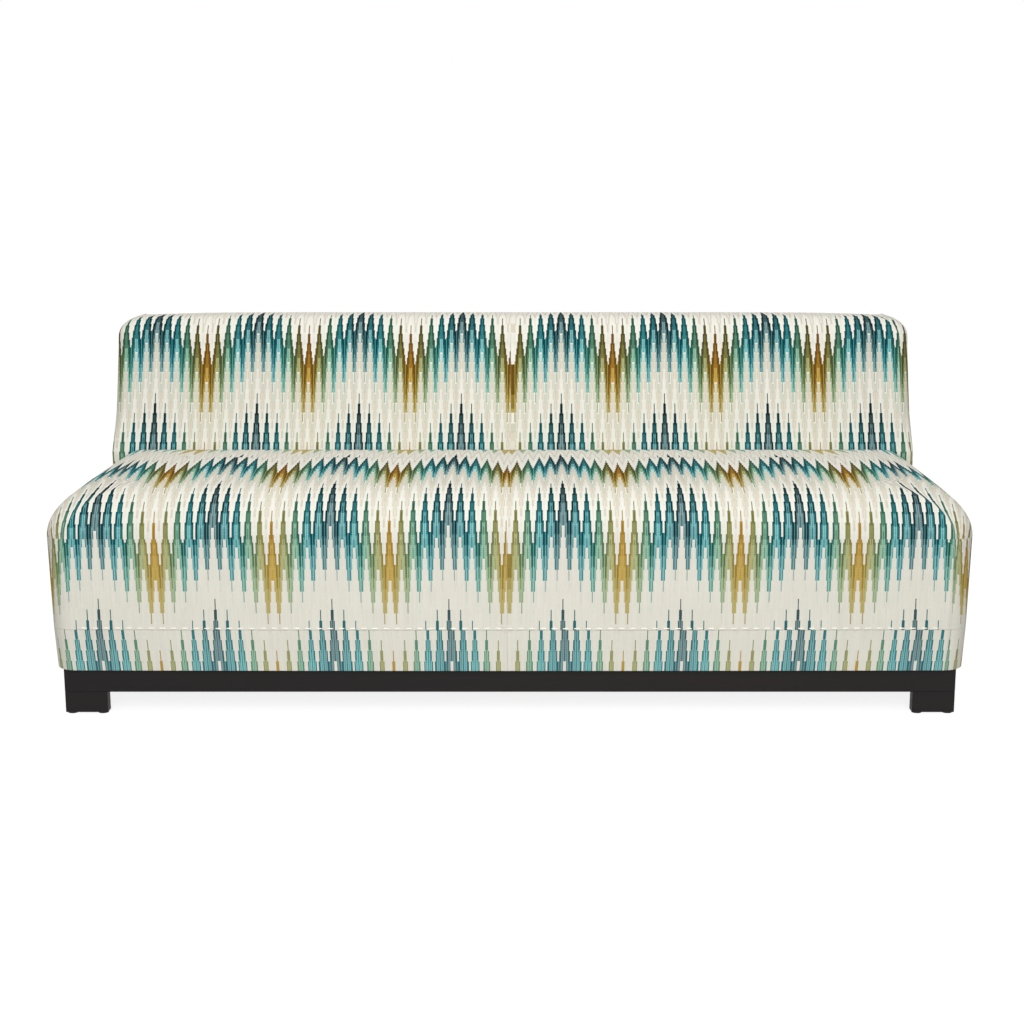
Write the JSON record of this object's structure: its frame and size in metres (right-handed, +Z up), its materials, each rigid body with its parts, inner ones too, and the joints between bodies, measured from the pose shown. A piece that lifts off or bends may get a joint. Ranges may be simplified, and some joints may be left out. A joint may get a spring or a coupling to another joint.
{
  "type": "armless sofa",
  "caption": "Low armless sofa with a wide tight seat, a leaning tight back in flame stitch fabric and a dark wood base on bracket feet.",
  "frame": {"origin": "on the floor, at the middle of the footprint's bounding box", "axes": "+Z up, +X along the length, -Y towards the person's legs, so the sofa faces -Y"},
  "size_m": [1.992, 0.8813, 0.803],
  "materials": {
    "dark_stained_wood": "satin espresso stain",
    "frame_hardwood": "planed, unfinished",
    "flame_stitch_fabric": "woven flame stitch in teal, gold and cream",
    "stitching_thread": "cream thread",
    "foam": "open cell upholstery foam, soft",
    "wadding": "polyester fibre",
    "burlap": "plain weave",
    "webbing": "elastic webbing",
    "dust_sheet": "black spunbond",
    "panel_board": "grey board",
    "spring_steel": "oiled spring steel",
    "zinc_steel": "zinc plated",
    "glide_plastic": "nylon"
  },
  "bodies": {
    "root": {"back_burlap": "burlap", "back_foam": "foam", "back_lower_rail": "frame_hardwood", "back_middle_rail": "frame_hardwood", "back_side_middle_rails": "frame_hardwood", "back_top_rail": "frame_hardwood", "back_wadding": "wadding", "back_webbing": "webbing", "base_corner_blocks": "frame_hardwood", "base_screws": "zinc_steel", "border_band": "flame_stitch_fabric", "center_beam": "frame_hardwood", "center_front_leg": "frame_hardwood", "center_rear_leg": "frame_hardwood", "dust_cover": "dust_sheet", "foot_glides": "glide_plastic", "foot_screws": "zinc_steel", "front_base_rail": "dark_stained_wood", "front_left_foot": "dark_stained_wood", "front_right_foot": "dark_stained_wood", "front_seat_rail": "frame_hardwood", "inside_back_cover": "flame_stitch_fabric", "left_base_rail": "dark_stained_wood", "left_cheek": "frame_hardwood", "left_post": "frame_hardwood", "left_seat_rail": "frame_hardwood", "left_stretcher": "frame_hardwood", "left_upright": "frame_hardwood", "outside_back_board": "panel_board", "outside_back_cover": "flame_stitch_fabric", "post_bolts": "zinc_steel", "post_nuts": "zinc_steel", "post_washers": "zinc_steel", "rear_base_rail": "dark_stained_wood", "rear_left_foot": "dark_stained_wood", "rear_right_foot": "dark_stained_wood", "rear_seat_rail": "frame_hardwood", "right_base_rail": "dark_stained_wood", "right_cheek": "frame_hardwood", "right_post": "frame_hardwood", "right_seat_rail": "frame_hardwood", "right_stretcher": "frame_hardwood", "right_upright": "frame_hardwood", "seam_stitches": "stitching_thread", "seat_burlap": "burlap", "seat_corner_blocks": "frame_hardwood", "seat_cover": "flame_stitch_fabric", "seat_foam_core": "foam", "seat_foam_topper": "foam", "seat_wadding": "wadding", "sinuous_springs": "spring_steel", "spring_clips": "spring_steel", "spring_rail": "frame_hardwood", "spring_tie_wires": "spring_steel"}
  },
  "joints": []
}
